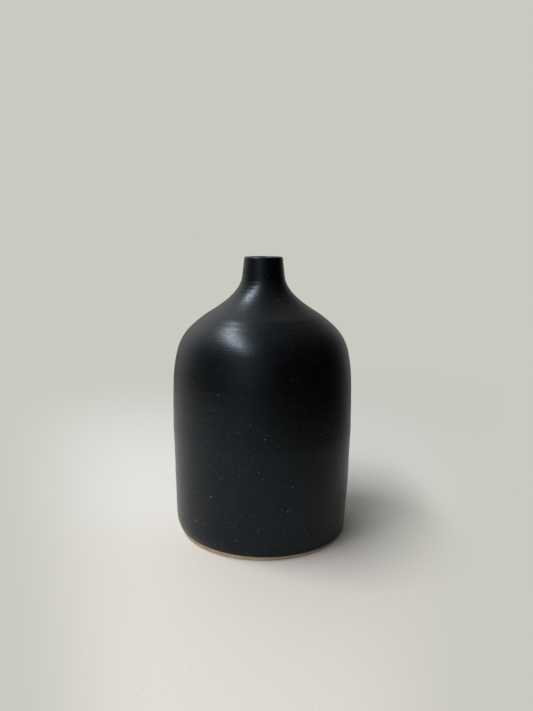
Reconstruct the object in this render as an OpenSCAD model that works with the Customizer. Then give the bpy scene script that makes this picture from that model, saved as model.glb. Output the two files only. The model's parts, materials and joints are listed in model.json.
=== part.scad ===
// Bottle vase: one thrown stoneware body, a black satin glaze outside and a liner glaze inside.
// Millimetres, +Z up, origin at the centre of the foot on the surface that the vase stands on.

/* [Body] */
// Height from the foot to the top of the lip
height = 200; // [190:1:215]
// Greatest diameter, at the belly
body_d = 130; // [122:1:138]
// Height of the greatest diameter
belly_z = 77; // [60:1:90]
// Diameter of the wall just above the rounded bottom corner
low_d = 127.2; // [120:0.1:128]
// Height at which the rounded bottom corner ends
corner_h = 16.5; // [12:0.5:22]
// Diameter of the foot where it stands
foot_d = 121.8; // [114:0.1:124]

/* [Shoulder] */
// Diameter at which the round shoulder turns into the sweep up to the neck
turn_d = 85.2; // [80:0.1:90]
// Distance of that turn below the top of the lip
turn_drop = 41.7; // [38:0.1:46]
// Slope of the wall there, from level
turn_slope = 37; // [32:1:42]

/* [Neck] */
// Height of the straight-sided neck
neck_h = 13.4; // [12:0.1:16]
// Outer diameter at the foot of the neck
neck_d = 30.2; // [29:0.1:32]
// Outer diameter at the lip
lip_d = 27.4; // [26.5:0.1:28.5]
// Diameter of the mouth, glazed
mouth_d = 20; // [17:0.5:21]
// Rounding of the lip's two edges
lip_round = 1; // [0.8:0.1:1.2]

/* [Clay wall] */
// Wall of the belly and shoulder, with its glazes
wall = 6; // [5:0.5:8]
// Floor, with the liner glaze
floor_t = 9; // [7:0.5:11]
// Width of the ring that the vase stands on
foot_ring = 8; // [6:0.5:12]
// Depth of the trimmed underside inside that ring
foot_recess = 1.5; // [0.5:0.1:2]

/* [Glaze] */
// Thickness of the outer glaze
outer_coat = 0.6; // [0.4:0.1:0.8]
// Thickness of the liner glaze
liner_coat = 0.4; // [0.3:0.1:0.6]
// Height of the bare clay band at the foot
bare_band = 2.2; // [1.5:0.1:4]

/* [Hidden] */
steps = 14;           // straight pieces in each tightly curved stretch
belly_steps = 7;      // straight pieces in the nearly straight lower wall
edge_steps = 4;       // straight pieces in each rounded lip edge
foot_bevel = 0.4;     // softened edge under the foot ring
mouth_depth = 12;     // straight length of the mouth below the lip's rounding
corner_pull = 8;      // how squarely the bottom corner turns
floor_pull = 5;       // how squarely the wall meets the floor inside
low_pull = 12;        // how long the lower wall stays straight
belly_pull = 6;       // how flat the belly is
shoulder_pull = 56.5; // how far up the shoulder the wall stays upright
shoulder_fall = 26.3; // how flat the shoulder is above that
sweep_start = 6.7;    // how soon the sweep leaves the shoulder's slope
sweep_end = 14.6;     // how gently the sweep runs into the neck

lip_z = height - lip_round;
neck_z = height - neck_h;
turn_z = height - turn_drop;
liner_top = lip_z;
bore_foot = lip_z - mouth_depth;

// A point of the cubic curve from a to d with handles b and c, and the curve without its first point
function curve_point(a, b, c, d, t) =
    pow(1 - t, 3) * a + 3 * t * pow(1 - t, 2) * b + 3 * t * t * (1 - t) * c + pow(t, 3) * d;
function curve(a, b, c, d, n = steps) = [for (i = [1:n]) curve_point(a, b, c, d, i / n)];

// Points of a quarter turn of radius r about c, from angle a to angle b
function turn(c, r, a, b) =
    [for (i = [0:edge_steps]) let (t = a + (b - a) * i / edge_steps) c + r * [cos(t), sin(t)]];

function reversed(p) = [for (i = [len(p) - 1:-1:0]) p[i]];

// The wall's side from the lower wall to the foot of the neck, set in by a distance from the outside,
// and ending on radius end_r at height end_z with the neck's lean
function side(inset, end_r, end_z, lean) =
    let (
        low = [low_d / 2 - inset, corner_h],
        belly = [body_d / 2 - inset, belly_z],
        slope = [-cos(turn_slope), sin(turn_slope)],
        shoulder = [turn_d / 2, turn_z] - inset * [sin(turn_slope), cos(turn_slope)],
        shrink = (body_d / 2 - inset) / (body_d / 2),
        end = [end_r, end_z]
    )
    concat(
        curve(low, low + [0.3, low_pull], belly - [0, belly_pull], belly, belly_steps),
        curve(belly, belly + [0, shoulder_pull * shrink],
              shoulder - slope * shoulder_fall * shrink, shoulder),
        curve(shoulder, shoulder + slope * sweep_start, end - sweep_end * lean, end)
    );

neck_lean = let (v = [(lip_d - neck_d) / 2, lip_z - neck_z]) v / norm(v);
upright = [0, 1];

// Outside of the glaze, from the glaze line above the bare foot up to the lip's outer edge
function glaze_side(inset) =
    let (line = [foot_d / 2 + outer_coat - inset, bare_band], low = [low_d / 2 - inset, corner_h])
    concat(
        [line],
        curve(line, line + [0.5, 0.5], low - [0.15, corner_pull], low),
        side(inset, neck_d / 2 - inset, neck_z, neck_lean)
    );

// Top of the lip, from its outer edge over to the mouth
function lip_top(inset) =
    concat(
        turn([lip_d / 2 - lip_round, lip_z], lip_round - inset, 0, 90),
        turn([mouth_d / 2 + lip_round, lip_z], lip_round - inset, 90, 180)
    );

// Inside, from the mouth's lower end down the neck, the shoulder and the wall to the middle of the floor
function hollow(inset) =
    let (
        low = [low_d / 2 - wall + inset, corner_h],
        flat = [foot_d / 2 - wall - foot_ring, floor_t - inset]
    )
    concat(
        [[mouth_d / 2 + inset, bore_foot]],
        reversed(side(wall - inset, mouth_d / 2 + inset, bore_foot, upright)),
        [low],
        curve(low, low - [0, floor_pull], flat + [floor_pull, 0], flat, belly_steps),
        [[0, floor_t - inset]]
    );

// One thrown and trimmed piece of stoneware: foot, floor, wall, shoulder, neck and lip
module clay_body() {
    color("tan")
        rotate_extrude()
            polygon(concat(
                [
                    [0, foot_recess],
                    [foot_d / 2 - foot_ring, foot_recess],
                    [foot_d / 2 - foot_ring + foot_recess, 0],
                    [foot_d / 2 - foot_bevel, 0],
                    [foot_d / 2, foot_bevel]
                ],
                glaze_side(outer_coat),
                lip_top(outer_coat),
                [[mouth_d / 2 + liner_coat, liner_top]],
                hollow(liner_coat)
            ));
}

// Black satin glaze over the outside and the lip, ending in a line above the bare foot
module outer_glaze() {
    color("#16181a")
        rotate_extrude()
            polygon(concat(
                glaze_side(0),
                lip_top(0),
                reversed(concat(glaze_side(outer_coat), lip_top(outer_coat)))
            ));
}

// Liner glaze poured over the inside, up to the mouth
module liner_glaze() {
    color("#26282a")
        rotate_extrude()
            polygon(concat(
                [[mouth_d / 2, liner_top]],
                hollow(0),
                reversed(concat([[mouth_d / 2 + liner_coat, liner_top]], hollow(liner_coat)))
            ));
}

clay_body();
outer_glaze();
liner_glaze();
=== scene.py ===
"""Looks of the stoneware bottle vase: clay, black satin glaze and liner glaze, on a plain pale floor.

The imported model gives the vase's sizes. Clay, coat and liner are turned again on the vase's axis from the
sections of their CAD nodes, much finer, with the potter's turning lines, a slightly uneven wall and a
wandering glaze line. Small pale specks stand in the coat.
"""

import json
import math

import bpy
import numpy as np
from mathutils import Matrix, Vector


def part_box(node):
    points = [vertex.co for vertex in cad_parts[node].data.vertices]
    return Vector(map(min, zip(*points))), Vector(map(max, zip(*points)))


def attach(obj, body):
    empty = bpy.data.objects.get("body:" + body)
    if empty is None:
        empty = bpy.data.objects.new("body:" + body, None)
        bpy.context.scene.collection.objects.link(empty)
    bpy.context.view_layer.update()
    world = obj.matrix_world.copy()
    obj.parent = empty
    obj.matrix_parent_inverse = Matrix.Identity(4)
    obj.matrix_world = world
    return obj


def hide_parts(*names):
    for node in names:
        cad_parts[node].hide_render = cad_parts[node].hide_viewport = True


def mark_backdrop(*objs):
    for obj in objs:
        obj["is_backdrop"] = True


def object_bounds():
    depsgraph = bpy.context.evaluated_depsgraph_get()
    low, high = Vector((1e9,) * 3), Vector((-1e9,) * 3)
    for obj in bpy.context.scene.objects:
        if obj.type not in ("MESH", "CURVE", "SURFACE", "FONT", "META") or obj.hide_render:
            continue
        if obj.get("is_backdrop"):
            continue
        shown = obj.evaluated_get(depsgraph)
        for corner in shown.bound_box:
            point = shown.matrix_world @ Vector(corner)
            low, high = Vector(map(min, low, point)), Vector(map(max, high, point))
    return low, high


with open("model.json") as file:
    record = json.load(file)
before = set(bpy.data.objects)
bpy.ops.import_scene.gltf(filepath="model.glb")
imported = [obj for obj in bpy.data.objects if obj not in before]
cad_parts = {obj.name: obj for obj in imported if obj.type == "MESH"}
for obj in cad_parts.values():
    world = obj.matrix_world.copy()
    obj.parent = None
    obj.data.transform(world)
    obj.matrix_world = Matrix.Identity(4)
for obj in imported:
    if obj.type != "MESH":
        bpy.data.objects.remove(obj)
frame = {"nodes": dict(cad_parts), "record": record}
cad_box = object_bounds()

MM = 0.001
HEIGHT = cad_box[1][2]
MOUTH = next(m for m in frame["record"]["mounts"] if m["name"] == "mouth")
BORE_R = MOUTH["dims"]["r_mm"] * MM

AROUND = 256             # columns of quads round the vase
SPECKS = 560
SEED = 11
SAME_CORNER = 0.06 * MM  # corners of a section that are nearer than this are one
TOUCHING = 0.2 * MM      # nearer than this, a corner lies on the other node's surface
COAT_GAP = 0.01 * MM     # keeps the clay's surface just off the glaze's
TINY = 0.001 * MM        # a length below this counts as nothing


# ---------------------------------------------------------------- sections read from the frame

def lengths(path):
    """How far along the path each point is."""
    return np.r_[0, np.cumsum(np.hypot(*np.diff(path, axis=0).T))]


def corners(node, away_from=None):
    """The (radius, height) points of a turned node's section, each once, in metres. Points that lie on
    the other node's surface are left out."""
    mesh = frame["nodes"][node].data
    flat = np.empty(len(mesh.vertices) * 3, np.float32)
    mesh.vertices.foreach_get("co", flat)
    x, y, z = flat.reshape(-1, 3).astype(float).T
    found = np.c_[np.hypot(x, y), z]
    kept = []
    # They come sorted by height, so a point that repeats one is near the last few kept.
    for point in found[np.lexsort((found[:, 0], found[:, 1]))]:
        if not kept or np.hypot(*(np.array(kept[-8:]) - point).T).min() > SAME_CORNER:
            kept.append(point)
    if away_from:
        other = frame["nodes"][away_from]
        hits = [other.closest_point_on_mesh((r, 0, z))[1] for r, z in kept]
        kept = [p for p, hit in zip(kept, hits) if (hit - Vector((p[0], 0, p[1]))).length > TOUCHING]
    return np.array(kept)


def outer_section():
    """The outer glaze's outside, from the glaze line up the wall, over the lip and down to the mouth."""
    points = corners("outer_glaze", away_from="clay_body")
    middle = (BORE_R + points[points[:, 1] > HEIGHT - 2 * MM, 0].max()) / 2
    wall = points[points[:, 0] >= middle]
    inside = points[points[:, 0] < middle]
    return np.vstack([wall[np.argsort(wall[:, 1])], inside[np.argsort(-inside[:, 1])]])


def inner_section():
    """The liner's inside, from the mouth down to the middle of the floor."""
    points = corners("liner_glaze", away_from="clay_body")
    order = np.lexsort((-points[:, 0], -np.round(points[:, 1] / (0.05 * MM))))
    return np.vstack([points[order], [0, points[:, 1].min()]])


def foot_section():
    """The clay's bare surface: from the middle of the recess over the foot ring to the glaze line."""
    points = corners("clay_body")
    points = points[points[:, 1] < BARE - 0.1 * MM]
    points = points[np.lexsort((points[:, 1], points[:, 0]))]
    return np.vstack([[0, points[0, 1]], points, [points[-1, 0], BARE]])


def filled(points, gap):
    """The same points, with more of them along the straight runs longer than gap."""
    runs = [points[:1]]
    for a, b in zip(points, points[1:]):
        count = math.ceil(np.hypot(*(b - a)) / gap)
        runs.append(a + (b - a) * np.arange(1, count + 1)[:, None] / count)
    return np.vstack(runs)


class Curve:
    """A smooth curve through a section's points. Lengths along it start at 0; before that it runs on
    straight, along lead. Where the points are more than gap apart, it is straight between them."""

    STEP = 0.2 * MM      # distance between the curve's own points
    LEAD_STEPS = 25      # of those in the straight lead
    SOFTENING = 3        # passes that soften the corners that are left
    REACH = 0.15 * MM    # the normal is taken across this much of the curve on each side

    def __init__(self, points, lead, gap):
        points = filled(points, gap)
        s = lengths(points)
        slope = np.gradient(points, s, axis=0)
        at = np.linspace(0, s[-1], round(s[-1] / self.STEP) + 1)
        k = np.clip(np.searchsorted(s, at, side="right") - 1, 0, len(s) - 2)
        width = (s[k + 1] - s[k])[:, None]
        t = (at - s[k])[:, None] / width
        path = (
            (2 * t**3 - 3 * t**2 + 1) * points[k]
            + (t**3 - 2 * t**2 + t) * width * slope[k]
            + (3 * t**2 - 2 * t**3) * points[k + 1]
            + (t**3 - t**2) * width * slope[k + 1]
        )
        for _ in range(self.SOFTENING):
            path[1:-1] = (path[:-2] + 2 * path[1:-1] + path[2:]) / 4
        before = np.arange(-self.LEAD_STEPS, 0)[:, None] * self.STEP * np.array(lead) + path[0]
        self.path = np.vstack([before, path])
        self.s = lengths(self.path) - self.LEAD_STEPS * self.STEP
        self.end = self.s[-1]

    def point(self, s):
        """The (radius, height) at lengths s."""
        return np.stack([np.interp(s, self.s, self.path[:, 0]), np.interp(s, self.s, self.path[:, 1])], -1)

    def outwards(self, s):
        """The unit normal on the curve's right-hand side."""
        along = self.point(s + self.REACH) - self.point(s - self.REACH)
        along /= np.hypot(along[..., 0], along[..., 1])[..., None]
        return np.stack([along[..., 1], -along[..., 0]], -1)

    def rows(self, step):
        """Lengths from 0 to the end, step(height, length) apart."""
        found = [0.0]
        while found[-1] < self.end - TINY:
            z = self.point(found[-1])[1]
            found.append(min(found[-1] + step(z, found[-1]), self.end))
        return np.array(found)


# ---------------------------------------------------------------- the potter's hand

GLAZE_LINE_TILT = 1.3 * MM       # the dip left the glaze line this much higher on one side
GLAZE_LINE_LOW = 0.45            # the way to its lowest side, in radians
GLAZE_LINE_WANDER = 0.10 * MM
GLAZE_LINE_DOWN = 0.3 * MM       # it is this much lower all round than in the CAD
LINE_REACH = 14 * MM             # the wall's rows shift with the glaze line up to here
FOOT_OFFSET = 0.6 * MM           # the trimmed foot sits this much to one side
FOOT_TOP = 9 * MM                # and this is as high as that goes
CORNER_OFFSET = -0.5 * MM        # the corner above it sits this much to the other side
CORNER_FADE = (45 * MM, 8 * MM)  # which begins at the first height and is whole at the second
LEAN = 0.4 * MM                  # the neck stands this much to one side
OVAL = 0.16 * MM                 # how far the wall is from round
PULL_PITCH = 13 * MM             # the broad marks of the potter's pulls
PULL_DEPTH = 0.07 * MM
RING_PITCH = 1.85 * MM           # the rib's lines on the shoulder
RING_DEPTH = 0.014 * MM
FINER_RINGS = 1.63               # finer lines among them, so many times as close
TRIM_PITCH = 0.9 * MM            # the trimming tool's lines in the foot
TRIM_DEPTH = 0.02 * MM
TURN = 2 * np.pi


def rng(name):
    """A random stream of its own for each use, so that adding one leaves the others as they are."""
    return np.random.default_rng([SEED, *name.encode()])


def wave(x, terms, name):
    """A smooth random curve of x that repeats every 2 pi: a sum of the whole-number terms."""
    draw = rng(name)
    total = np.zeros_like(x)
    for n in terms:
        total = total + draw.normal() * np.cos(n * x + draw.uniform(0, TURN)) / n
    return total


def drift(x, spacing, name):
    """A smooth random curve of x, about 1 high, with a new random value every spacing. x may run from
    -100 to 299 spacings."""
    values = rng(name).normal(size=400)
    at = x / spacing + 100
    k = np.floor(at).astype(int)
    t = at - k
    t = t * t * (3 - 2 * t)
    return values[k] * (1 - t) + values[k + 1] * t


def ramp(x, low, high):
    """0 below low, 1 above high, and smooth between; low may be the greater."""
    t = np.clip((x - low) / (high - low), 0, 1)
    return t * t * (3 - 2 * t)


def glaze_line(phi):
    """How far the glaze line lies above its mean height, round the vase."""
    wander = GLAZE_LINE_WANDER * wave(phi, range(2, 13), "line")
    return -GLAZE_LINE_DOWN - GLAZE_LINE_TILT * np.cos(phi - GLAZE_LINE_LOW) + wander


def uneven(phi, r, z):
    """How far the wall stands out from a true round: the vase is thrown by hand."""
    oval = OVAL * (np.cos(2 * phi + 0.7) + 0.5 * np.cos(3 * phi + 2.1))
    pulls = PULL_DEPTH * drift(z + 1.5 * MM * np.cos(phi), PULL_PITCH, "pulls")
    where = ramp(z, 0.02 * HEIGHT, 0.15 * HEIGHT) * ramp(z, 0.97 * HEIGHT, 0.8 * HEIGHT)
    return (oval + pulls) * where * np.minimum(r / BORE_R, 1)


def turning_lines(phi, s, z):
    """Fine spiral lines that the rib left on the shoulder and neck."""
    phase = s / RING_PITCH + phi / TURN + 0.16 * drift(s, 5 * MM, "ring phase")
    finer = FINER_RINGS * phase + 0.4 * drift(s, 4 * MM, "finer phase")
    depth = 0.7 + 0.3 * drift(s, 3 * MM, "ring depth")
    broken = 0.85 + 0.20 * drift(phi * 9 + 40 * s / HEIGHT, 0.35, "ring breaks")
    where = ramp(z, 0.56 * HEIGHT, 0.67 * HEIGHT) * ramp(z, 0.99 * HEIGHT, 0.975 * HEIGHT)
    lines = 0.85 * depth * np.cos(TURN * phase) + 0.25 * np.cos(TURN * finer)
    return RING_DEPTH * where * broken * lines


def trimming_lines(phi, s, z):
    """Lines that the trimming tool left in the bare clay."""
    phase = s / TRIM_PITCH + phi / TURN + 0.5 * drift(s, 3 * MM, "trim phase")
    return TRIM_DEPTH * np.cos(TURN * phase) * ramp(s, 0, 5 * MM)


# ---------------------------------------------------------------- turned meshes

ANGLES = np.arange(AROUND) * TURN / AROUND


def surface(curve, s, phi, inset=0.0, relief=None, shift=None):
    """Points at lengths s and angles phi of the curve turned about the vase's axis, as x, y, z.

    inset sets them back from the curve's outer side, relief(phi, s, z) brings them out again, and
    shift(phi) moves the curve's start along it."""
    s, phi = np.broadcast_arrays(s, phi)
    if shift:
        s = np.where(s < LINE_REACH, shift(phi) + s * (1 - shift(phi) / LINE_REACH), s)
    here = curve.point(s)
    out = -inset + (relief(phi, s, here[..., 1]) if relief else 0)
    here = here + curve.outwards(s) * np.broadcast_to(out, s.shape)[..., None]
    r, z = np.maximum(here[..., 0], 0), here[..., 1]
    r = r + uneven(phi, r, z)
    low = ramp(z, FOOT_TOP, 0)
    aside = FOOT_OFFSET * low + CORNER_OFFSET * (1 - low) * ramp(z, *CORNER_FADE)
    aside = aside + LEAN * ramp(z, 0.5 * HEIGHT, 0.85 * HEIGHT)
    return np.stack([r * np.cos(phi) + aside, r * np.sin(phi), z], -1)


def turned(curve, s, inset=0.0, **more):
    """Rings of points at lengths s; inset is one number, or one for each ring."""
    inset = np.broadcast_to(inset, s.shape)
    return surface(curve, s[:, None], ANGLES[None, :], inset[:, None], **more)


def add_mesh(name, verts, faces, material):
    """A smooth-shaded mesh object of one material."""
    mesh = bpy.data.meshes.new(name)
    mesh.from_pydata(verts, [], faces)
    mesh.polygons.foreach_set("use_smooth", [True] * len(mesh.polygons))
    mesh.materials.append(material)
    mesh.update()
    piece = bpy.data.objects.new(name, mesh)
    bpy.context.collection.objects.link(piece)
    return piece


def turn_mesh(name, rings, material):
    """A closed smooth mesh from rings of points: each joins the next, and the last joins the first.
    A ring on the axis becomes one point."""
    verts = []
    index = []
    for ring in rings:
        if np.ptp(ring[:, :2], axis=0).max() < TINY:
            index.append([len(verts)] * AROUND)
            verts.append(ring[0].tolist())
        else:
            index.append(list(range(len(verts), len(verts) + AROUND)))
            verts.extend(ring.tolist())
    faces = []
    for a, b in zip(index, index[1:] + index[:1]):
        for j in range(AROUND):
            k = (j + 1) % AROUND
            face = tuple(dict.fromkeys((a[j], a[k], b[k], b[j])))
            if len(face) > 2:
                faces.append(face)
    return add_mesh(name, verts, faces, material)


# ---------------------------------------------------------------- materials

def new_material(name, **sockets):
    """A material of one Principled shader, with the values that are the same all over."""
    mat = bpy.data.materials.new(name)
    mat.use_nodes = True
    shader = mat.node_tree.nodes["Principled BSDF"]
    for key, value in sockets.items():
        shader.inputs[key.replace("_", " ")].default_value = value
    return mat, shader


class Nodes:
    """Short calls for the nodes of one material."""

    def __init__(self, mat):
        self.tree = mat.node_tree
        self.where = self.add("ShaderNodeTexCoord").outputs["Object"]

    def add(self, kind, **settings):
        node = self.tree.nodes.new(kind)
        for key, value in settings.items():
            setattr(node, key, value)
        return node

    def feed(self, socket, value):
        if isinstance(value, bpy.types.NodeSocket):
            self.tree.links.new(value, socket)
        elif hasattr(socket.default_value, "__len__") and len(socket.default_value) == 4:
            socket.default_value = (*value[:3], 1)
        else:
            socket.default_value = value

    def math(self, kind, a, b=0.0, c=0.0):
        node = self.add("ShaderNodeMath", operation=kind)
        for socket, value in zip(node.inputs, (a, b, c)):
            self.feed(socket, value)
        return node.outputs[0]

    def flattened(self, squash):
        """The place with x and y made smaller, for lines that run round the vase."""
        node = self.add("ShaderNodeVectorMath", operation="MULTIPLY")
        self.feed(node.inputs[0], self.where)
        node.inputs[1].default_value = (squash, squash, 1)
        return node.outputs[0]

    def noise(self, size, detail=2.0, roughness=0.5, vector=None):
        """Noise whose lumps are about size metres across."""
        node = self.add("ShaderNodeTexNoise")
        self.feed(node.inputs["Vector"], vector or self.where)
        for key, value in (("Scale", 1 / size), ("Detail", detail), ("Roughness", roughness)):
            node.inputs[key].default_value = value
        return node.outputs["Fac"]

    def spread(self, value, low, high, to_low=0.0, to_high=1.0):
        """value from low..high to to_low..to_high, smoothly and held at the ends."""
        node = self.add("ShaderNodeMapRange", interpolation_type="SMOOTHSTEP")
        for socket, number in zip(node.inputs, (value, low, high, to_low, to_high)):
            self.feed(socket, number)
        return node.outputs["Result"]

    def blend(self, factor, a, b):
        node = self.add("ShaderNodeMix", data_type="RGBA")
        self.feed(node.inputs[0], factor)
        self.feed(node.inputs[6], a)
        self.feed(node.inputs[7], b)
        return node.outputs[2]

    def dots(self, spacing, radius, share):
        """Small round dots, each with its own strength, in a share of the cells of about that spacing."""
        node = self.add("ShaderNodeTexVoronoi")
        self.feed(node.inputs["Vector"], self.where)
        node.inputs["Scale"].default_value = 1 / spacing
        near = self.spread(node.outputs["Distance"], radius / spacing, 0.4 * radius / spacing)
        pick = self.add("ShaderNodeSeparateColor")
        self.feed(pick.inputs[0], node.outputs["Color"])
        strength = self.math("POWER", pick.outputs[1], 2.0)
        chosen = self.math("LESS_THAN", pick.outputs[0], share)
        return self.math("MULTIPLY", near, self.math("MULTIPLY", strength, chosen))

    def height(self):
        split = self.add("ShaderNodeSeparateXYZ")
        self.feed(split.inputs[0], self.where)
        return split.outputs["Z"]

    def bump(self, height, distance, after=None):
        """Bump from a height of 0..1 that stands for distance metres, on top of the bump after."""
        node = self.add("ShaderNodeBump")
        node.inputs["Strength"].default_value = 1.0
        node.inputs["Distance"].default_value = distance
        self.feed(node.inputs["Height"], height)
        if after:
            self.feed(node.inputs["Normal"], after)
        return node.outputs["Normal"]


def black_glaze():
    """Black satin glaze: nearly black, faintly mottled, flecked most low down, browner on the lip."""
    mat, shader = new_material("black_satin_glaze", IOR=1.38, Specular_Tint=(0.69, 0.83, 1.0, 1))
    n = Nodes(mat)
    fine = n.noise(0.9 * MM, 3.0, 0.6)
    broad = n.noise(14 * MM, 2.0)
    tone = n.math("MULTIPLY_ADD", fine, 0.75, n.math("MULTIPLY", broad, 0.25))
    color = n.blend(n.spread(tone, 0.42, 0.68), (0.0016, 0.0020, 0.0024), (0.0055, 0.0066, 0.0078))
    flecks = n.dots(1.9 * MM, 0.34 * MM, 0.75)
    lower = n.spread(n.height(), 0.8 * HEIGHT, 0.4 * HEIGHT, 0.25, 1.0)
    color = n.blend(n.math("MULTIPLY", flecks, lower), color, (0.13, 0.14, 0.14))
    lip = n.spread(n.height(), HEIGHT - 1.5 * MM, HEIGHT - 0.1 * MM)
    color = n.blend(n.math("MULTIPLY", lip, 0.5), color, (0.020, 0.015, 0.011))
    n.feed(shader.inputs["Base Color"], color)
    n.feed(shader.inputs["Roughness"], n.spread(n.noise(2.2 * MM, 3.0), 0.3, 0.7, 0.285, 0.335))
    peel = n.bump(n.noise(2.6 * MM, 2.0), 0.012 * MM)
    pits = n.bump(fine, 0.018 * MM, after=peel)
    streaks = n.noise(0.75 * MM, 2.0, 0.5, n.flattened(0.32))
    upper = n.spread(n.height(), 0.58 * HEIGHT, 0.72 * HEIGHT, 0.15, 1.0)
    n.feed(shader.inputs["Normal"], n.bump(n.math("MULTIPLY", streaks, upper), 0.020 * MM, after=pits))
    return mat


def liner_glaze():
    """Liner glaze: a little glossier and browner than the outside."""
    mat, shader = new_material("liner_glaze", Specular_IOR_Level=0.35, IOR=1.5)
    n = Nodes(mat)
    tone = n.spread(n.noise(5 * MM, 4.0, 0.6), 0.35, 0.7)
    color = n.blend(tone, (0.006, 0.0058, 0.0055), (0.020, 0.018, 0.016))
    n.feed(shader.inputs["Base Color"], color)
    n.feed(shader.inputs["Roughness"], n.spread(n.noise(3 * MM), 0.3, 0.7, 0.22, 0.32))
    n.feed(shader.inputs["Normal"], n.bump(n.noise(4 * MM, 2.0), 0.03 * MM))
    return mat


def bare_clay():
    """Bare buff stoneware: matte, toasted in patches, with dark and pale grog."""
    mat, shader = new_material("bare_stoneware", Specular_IOR_Level=0.25)
    n = Nodes(mat)
    patch = n.spread(n.noise(9 * MM, 4.0, 0.6), 0.35, 0.65)
    color = n.blend(patch, (0.50, 0.37, 0.235), (0.62, 0.485, 0.34))
    grain = n.spread(n.noise(0.45 * MM, 3.0, 0.7), 0.35, 0.7)
    color = n.blend(n.math("MULTIPLY", grain, 0.35), color, (0.70, 0.58, 0.43))
    color = n.blend(n.dots(1.3 * MM, 0.24 * MM, 0.6), color, (0.10, 0.060, 0.035))
    n.feed(shader.inputs["Base Color"], color)
    n.feed(shader.inputs["Roughness"], n.spread(grain, 0.0, 1.0, 0.78, 0.92))
    n.feed(shader.inputs["Normal"], n.bump(n.noise(0.35 * MM, 4.0, 0.7), 0.05 * MM))
    return mat


def speck():
    """Pale mineral specks that melted through the glaze."""
    mat, shader = new_material("mineral_speck", Specular_IOR_Level=0.5)
    n = Nodes(mat)
    tone = n.noise(3 * MM, 1.0)
    color = n.blend(n.spread(tone, 0.35, 0.65), (0.09, 0.094, 0.092), (0.36, 0.365, 0.355))
    n.feed(shader.inputs["Base Color"], color)
    n.feed(shader.inputs["Roughness"], n.spread(n.noise(0.3 * MM), 0.3, 0.7, 0.45, 0.65))
    return mat


# ---------------------------------------------------------------- the vase

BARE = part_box("outer_glaze")[0][2]
OUTER_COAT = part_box("outer_glaze")[1][0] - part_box("clay_body")[1][0]
EDGE_ROUND = 0.8 * MM            # the coat's lower edge is rounded over this much of the wall
ROLL_DEPTH = 0.1 * MM            # the glaze stands this much thicker just above it
ROLL_PLACE = 1.7 * MM
ROLL_WIDTH = 0.9 * MM
OUTER = Curve(outer_section(), lead=(0, 1), gap=9 * MM)
INNER = Curve(inner_section(), lead=(0, -1), gap=9 * MM)
FOOT = Curve(foot_section(), lead=(1, 0), gap=0.5 * MM)
LINER_COAT = INNER.path[-1, 1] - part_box("liner_glaze")[0][2]


def make_outer_glaze():
    """The outer coat: a closed shell with a rounded lower edge and a slight roll above it."""

    def step(z, s):
        """Rows are close at the lower edge, on the lip and where the turning lines are."""
        if s < 3 * MM:
            return 0.16 * MM
        if z > HEIGHT - 1.6 * MM:
            return 0.2 * MM
        return 0.28 * MM if z > 0.58 * HEIGHT else 0.9 * MM

    s = OUTER.rows(step)
    t = np.clip(s / EDGE_ROUND, 0, 1)
    rounding = OUTER_COAT * (1 - np.sqrt(1 - (1 - t) ** 2))
    roll = ROLL_DEPTH * np.exp(-(((s - ROLL_PLACE) / ROLL_WIDTH) ** 2))
    outside = turned(OUTER, s, rounding - roll, relief=turning_lines, shift=glaze_line)
    back = OUTER.rows(lambda z, s: 0.3 * MM if z > HEIGHT - 2 * MM else 4 * MM)[:0:-1]
    inside = turned(OUTER, back, OUTER_COAT, shift=glaze_line)
    return turn_mesh("outer_glaze_coat", np.concatenate([outside, inside]), black_glaze())


def make_clay():
    """The clay body as one closed solid: its bare foot and band, and the wall under both glazes."""
    foot = FOOT.rows(lambda z, s: 0.15 * MM if s > 0.8 * FOOT.end else 0.6 * MM)
    under = turned(FOOT, foot, relief=trimming_lines)
    up = OUTER.rows(lambda z, s: 0.25 * MM if s < 5 * MM or z > HEIGHT - 2 * MM else 2 * MM)[1:]
    side = turned(OUTER, up, OUTER_COAT + COAT_GAP)
    down = INNER.rows(lambda z, s: 3 * MM)
    inside = turned(INNER, down, LINER_COAT + COAT_GAP)
    return turn_mesh("clay_body_bare", np.concatenate([under, side, inside]), bare_clay())


def make_liner():
    """The glaze inside: a closed shell from the mouth down over the floor."""
    front = INNER.rows(lambda z, s: 0.8 * MM)
    back = INNER.rows(lambda z, s: 3 * MM)[::-1]
    rings = np.concatenate([turned(INNER, front), turned(INNER, back, LINER_COAT)])
    return turn_mesh("liner_glaze_coat", rings, liner_glaze())


DOME_SIDES = 8
DOME_RINGS = ((0.55, 0.75), (1.0, 0.0), (0.6, -0.8))  # a speck's rings from the top: width, level


def wall_at(s, phi):
    """A place on the coat and its directions there: up the wall, sideways and outwards."""

    def place(ds, dphi):
        return surface(OUTER, s + ds, phi + dphi, relief=turning_lines, shift=glaze_line)

    up = place(0.2 * MM, 0) - place(-0.2 * MM, 0)
    side = place(0, 0.004) - place(0, -0.004)
    up /= np.linalg.norm(up)
    side /= np.linalg.norm(side)
    return place(0, 0), up, side, np.cross(side, up)


def dome_faces(first):
    """A speck's faces: the first vertex is its top, then come its rings, and the last is its lowest."""
    faces = []
    rings = [first + 1 + DOME_SIDES * i for i in range(len(DOME_RINGS))]
    for k in range(DOME_SIDES):
        j = (k + 1) % DOME_SIDES
        faces.append((first, rings[0] + k, rings[0] + j))
        for upper, lower in zip(rings, rings[1:]):
            faces.append((upper + k, lower + k, lower + j, upper + j))
        faces.append((rings[-1] + j, rings[-1] + k, rings[-1] + DOME_SIDES))
    return faces


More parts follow.
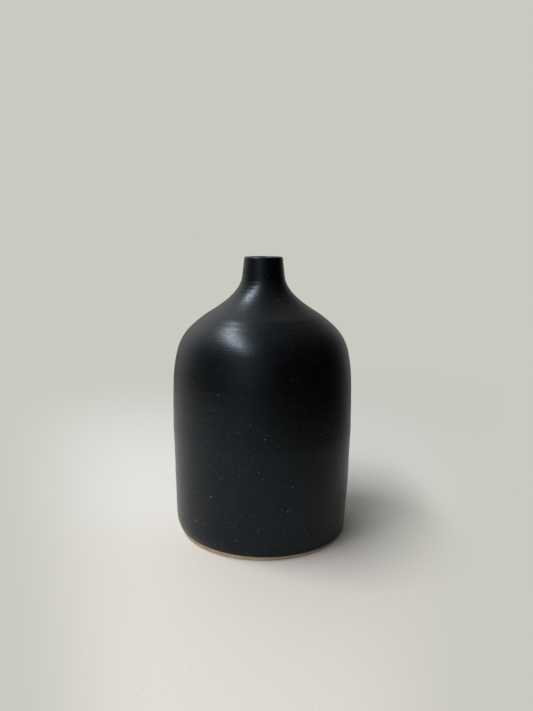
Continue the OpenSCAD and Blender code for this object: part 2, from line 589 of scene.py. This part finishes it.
def make_specks():
    """Pale mineral specks: small low domes that stand in the outer glaze, most of them low down."""
    draw = rng("specks")
    top = OUTER.path[:, 1].argmax()
    verts = []
    faces = []
    for _ in range(SPECKS):
        height = 1.0
        while draw.uniform() > max(0.12, 1.0 - 1.3 * height):
            height = draw.uniform(0.03, 0.97)
        phi = draw.uniform(0, TURN)
        s = np.interp(height * HEIGHT, OUTER.path[:top, 1], OUTER.s[:top])
        big = draw.uniform() < 0.2
        size = draw.uniform(0.22, 0.36) * MM if big else draw.uniform(0.10, 0.22) * MM
        size *= 1 - 0.35 * height
        long = draw.uniform(1.0, 1.7)
        spin = draw.uniform(0, np.pi)
        middle, up, side, out = wall_at(s, phi)
        along = np.cos(spin) * up + np.sin(spin) * side
        across = np.cross(out, along)
        first = len(verts)
        stand = 0.035 * MM + 0.06 * size
        verts.append((middle + out * stand).tolist())
        for share, level in DOME_RINGS:
            for k in range(DOME_SIDES):
                a = TURN * k / DOME_SIDES
                jag = size * share * (1 + 0.12 * draw.normal())
                point = middle + along * (jag * long * np.cos(a)) + across * (jag * np.sin(a))
                verts.append((point + out * stand * level).tolist())
        verts.append((middle - out * stand).tolist())
        faces.extend(dome_faces(first))
    return add_mesh("glaze_specks", verts, faces, speck())


for piece, node, slot in (
    (make_clay(), "clay_body", "bare_clay"),
    (make_outer_glaze(), "outer_glaze", "black_glaze"),
    (make_liner(), "liner_glaze", "liner_glaze"),
    (make_specks(), "outer_glaze", "black_glaze"),
):
    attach(piece, "root")
    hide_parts(node)


# ---------------------------------------------------------------- floor, light and camera

BACKDROP = (0.591, 0.591, 0.539)
DAYLIGHT = (0.985, 1.0, 1.01)
VIEW_BACK = 2.239 * HEIGHT       # the camera stands this far in front of the vase's axis
VIEW_UP = 1.069 * HEIGHT         # and this high
FLOOR_RINGS = (0.02, 0.05, 0.1, 0.2, 0.4, 0.8, 1.6, 3.2)  # radii in metres
FLOOR_SIDES = 96


def make_floor():
    """A wide pale paper floor. Away from the vase the camera sees it fade to the backdrop's colour, and
    the vase's reflections see the room instead."""
    mat, paper = new_material("pale_paper", Specular_IOR_Level=0.1, Roughness=0.9)
    n = Nodes(mat)
    link = n.tree.links.new
    grain = n.noise(1.2 * MM, 3.0, 0.6)
    tone = n.spread(grain, 0.3, 0.7)
    # near and far are one paper: near is painted darker and a little warmer, as painted shade on the front
    # of the floor, far is the paper further back.
    near = n.blend(tone, (0.685, 0.655, 0.615), (0.745, 0.715, 0.67))
    far = n.blend(tone, (0.72, 0.705, 0.68), (0.78, 0.765, 0.74))
    n.feed(paper.inputs["Normal"], n.bump(grain, 0.05 * MM))

    # What the camera sees: paper, fading to the backdrop at the view's sides, behind and far away.
    split = n.add("ShaderNodeSeparateXYZ")
    n.feed(split.inputs[0], n.where)
    slant = n.math("DIVIDE", split.outputs["X"], n.math("ADD", split.outputs["Y"], VIEW_BACK))
    aside = n.spread(n.math("ABSOLUTE", n.math("ADD", slant, 0.02)), 0.15, 0.45, 1.0, 0.0)
    behind = n.spread(split.outputs["Y"], 0.6 * HEIGHT, 3.0 * HEIGHT, 1.0, 0.0)
    length = n.add("ShaderNodeVectorMath", operation="LENGTH")
    n.feed(length.inputs[0], n.where)
    beyond = n.spread(length.outputs["Value"], 2.2 * HEIGHT, 4.5 * HEIGHT, 1.0, 0.0)
    # Painted shade: the paper's colour darkens towards the front of the floor.
    shade = n.spread(split.outputs["Y"], -0.35 * HEIGHT, 0.30 * HEIGHT)
    n.feed(paper.inputs["Base Color"], n.blend(shade, near, far))
    plain = n.add("ShaderNodeEmission")
    n.feed(plain.inputs["Color"], BACKDROP)
    seen = n.add("ShaderNodeMixShader")
    n.feed(seen.inputs[0], n.math("MULTIPLY", beyond, n.math("MULTIPLY", aside, behind)))
    link(plain.outputs[0], seen.inputs[1])
    link(paper.outputs[0], seen.inputs[2])

    # What the vase mirrors: a patch of paper round its front left, fading into the room.
    centre = n.add("ShaderNodeVectorMath", operation="DISTANCE")
    n.feed(centre.inputs[0], n.where)
    centre.inputs[1].default_value = (-0.95 * HEIGHT, -0.2 * HEIGHT, 0)
    mirrored = n.add("ShaderNodeMixShader")
    n.feed(mirrored.inputs[0], n.spread(centre.outputs["Value"], 0.7 * HEIGHT, 3.3 * HEIGHT))
    link(paper.outputs[0], mirrored.inputs[1])
    link(n.add("ShaderNodeBsdfTransparent").outputs[0], mirrored.inputs[2])

    either = n.add("ShaderNodeMixShader")
    n.feed(either.inputs[0], n.add("ShaderNodeLightPath").outputs["Is Camera Ray"])
    link(mirrored.outputs[0], either.inputs[1])
    link(seen.outputs[0], either.inputs[2])
    link(either.outputs[0], n.tree.nodes["Material Output"].inputs["Surface"])

    angles = [TURN * j / FLOOR_SIDES for j in range(FLOOR_SIDES)]
    verts = [(r * math.cos(a), r * math.sin(a), 0) for r in FLOOR_RINGS for a in angles]
    faces = [tuple(range(FLOOR_SIDES))]
    for inner in range(0, len(verts) - FLOOR_SIDES, FLOOR_SIDES):
        outer = inner + FLOOR_SIDES
        for j in range(FLOOR_SIDES):
            k = (j + 1) % FLOOR_SIDES
            faces.append((inner + j, outer + j, outer + k, inner + k))
    return add_mesh("paper_floor", verts, faces, mat)


# The room that the vase mirrors, as soft glows: azimuth from the front towards the right and elevation in
# degrees, tightness, strength.
ROOM = {
    "wall behind on the left": (-135, 38, 5, 0.88),
    "low wall on the left": (-122, 2, 9, 0.34),
    "wall behind": (180, 45, 9, 0.28),
    "wall behind on the right": (148, 2, 10, 0.38),
    "pale wall in front on the left": (-24, 16, 12, 0.75),
    "curtain in front on the left": (-42, 45, 18, 0.35),
    "ceiling": (0, 90, 3, 0.09),
}


def direction(azimuth, elevation):
    """A unit vector from the vase: azimuth from the front towards the right, in degrees."""
    a = math.radians(azimuth)
    e = math.radians(elevation)
    return Vector((math.sin(a) * math.cos(e), -math.cos(a) * math.cos(e), math.sin(e)))


def make_world():
    """A dim room with pale walls for the reflections, and the plain backdrop for the camera."""
    world = bpy.data.worlds.new("studio")
    bpy.context.scene.world = world
    world.use_nodes = True
    n = Nodes(world)
    link = n.tree.links.new
    way = n.add("ShaderNodeTexCoord").outputs["Generated"]
    total = 0.0
    for azimuth, elevation, tightness, strength in ROOM.values():
        dot = n.add("ShaderNodeVectorMath", operation="DOT_PRODUCT")
        n.feed(dot.inputs[0], way)
        dot.inputs[1].default_value = direction(azimuth, elevation)
        glow = n.math("EXPONENT", n.math("MULTIPLY_ADD", dot.outputs["Value"], tightness, -tightness))
        total = n.math("MULTIPLY_ADD", glow, strength, total)
    room = n.add("ShaderNodeBackground")
    n.feed(room.inputs["Color"], (1.0, 0.99, 0.96))
    n.feed(room.inputs["Strength"], total)
    flat = n.add("ShaderNodeBackground")
    n.feed(flat.inputs["Color"], BACKDROP)
    mix = n.add("ShaderNodeMixShader")
    n.feed(mix.inputs[0], n.add("ShaderNodeLightPath").outputs["Is Camera Ray"])
    link(room.outputs[0], mix.inputs[1])
    link(flat.outputs[0], mix.inputs[2])
    link(mix.outputs[0], n.tree.nodes["World Output"].inputs["Surface"])


def add_window(side, up, ahead, width, length, power):
    """A long soft lamp beside the vase that runs from front to back and faces the vase's axis. Its middle
    is side to the right, up above the floor and ahead of the vase, in metres."""
    lamp = bpy.data.lights.new("window", "AREA")
    lamp.shape = "RECTANGLE"
    lamp.size = width
    lamp.size_y = length
    lamp.energy = power
    lamp.color = DAYLIGHT
    back = Vector((side, 0, up - 0.5 * HEIGHT)).normalized()
    along = Vector((0, 1, 0))
    turn = Matrix((along.cross(back), along, back)).transposed().to_4x4()
    light = bpy.data.objects.new("window", lamp)
    light.matrix_world = Matrix.Translation((side, -ahead, up)) @ turn
    bpy.context.collection.objects.link(light)
    light.visible_camera = False
    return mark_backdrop(light)


def aim_camera():
    """The camera: close to the vase, a little above its lip and looking slightly down."""
    pitch = math.radians(10.75)
    yaw = math.radians(0.367)
    roll = math.radians(0.34)
    turn = Matrix.Rotation(-yaw, 3, "Z")
    right = turn @ Vector((1, 0, 0))
    up = turn @ Vector((0, math.sin(pitch), math.cos(pitch)))
    back = right.cross(up)
    rolled_right = math.cos(roll) * right + math.sin(roll) * up
    rolled_up = math.cos(roll) * up - math.sin(roll) * right
    rolled = Matrix((rolled_right, rolled_up, back)).transposed().to_4x4()
    lens = bpy.data.cameras.new("camera")
    lens.sensor_fit = "VERTICAL"
    lens.sensor_height = 36
    lens.lens = 31.65
    lens.clip_start = 0.01
    camera = bpy.data.objects.new("camera", lens)
    bpy.context.collection.objects.link(camera)
    place = Vector((0, -VIEW_BACK, VIEW_UP))
    camera.matrix_world = Matrix.Translation(place) @ rolled
    bpy.context.scene.camera = camera


make_floor()
make_world()
add_window(side=-0.53, up=1.12, ahead=0.18, width=0.16, length=0.85, power=11.3)
add_window(side=-0.53, up=1.12, ahead=0.91, width=0.16, length=0.60, power=2.5)
aim_camera()
bpy.context.scene.view_settings.view_transform = "Standard"
